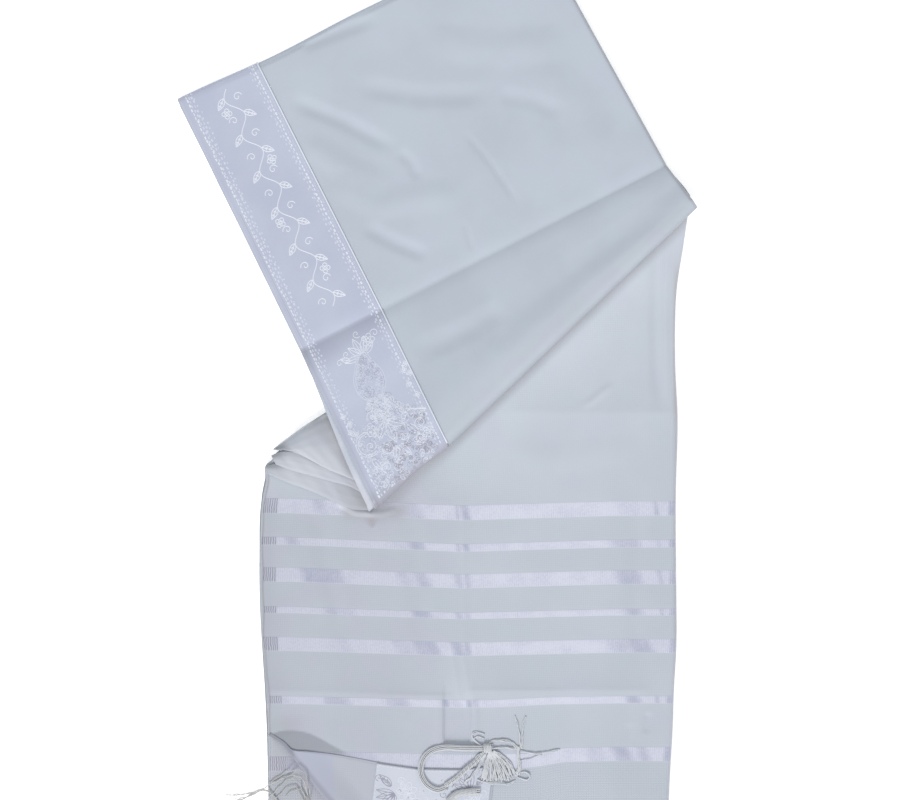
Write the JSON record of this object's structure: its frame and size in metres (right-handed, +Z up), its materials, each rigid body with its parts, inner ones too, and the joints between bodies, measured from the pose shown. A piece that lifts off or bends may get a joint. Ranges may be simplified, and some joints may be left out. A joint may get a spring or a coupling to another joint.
{
  "type": "folded tallit prayer shawl",
  "caption": "White woven prayer shawl folded to a long strip and turned on a slant, with a satin neckband, corner patches and knotted tassels.",
  "frame": {"origin": "on the flat underside, on the centre line of the folded strip, at the crease a quarter of the shawl's length from its end", "axes": "+X across the folded strip, away from its loose edges; +Y along the strip, from the hem to the turned end; +Z up, away from the surface that it lies on"},
  "size_m": [0.41, 0.8265, 0.0248],
  "materials": {
    "cloth": "plain and net-like weave, soft, with satin stripes woven in",
    "satin": "satin with woven ornament and soft sheen",
    "tassel_cord": "ivory twisted strings"
  },
  "bodies": {
    "root": {"hidden_layers": "cloth", "cloth_lower": "cloth", "cloth_lower_second": "cloth", "cloth_upper": "cloth", "cloth_upper_second": "cloth", "fanned_layer_one": "cloth", "fanned_layer_two": "cloth", "fanned_layer_three": "cloth", "corner_flap": "cloth", "neckband": "satin", "corner_patch": "satin", "corner_patch_second": "satin", "tzitzit_near": "tassel_cord", "tzitzit_left": "tassel_cord"}
  },
  "joints": []
}
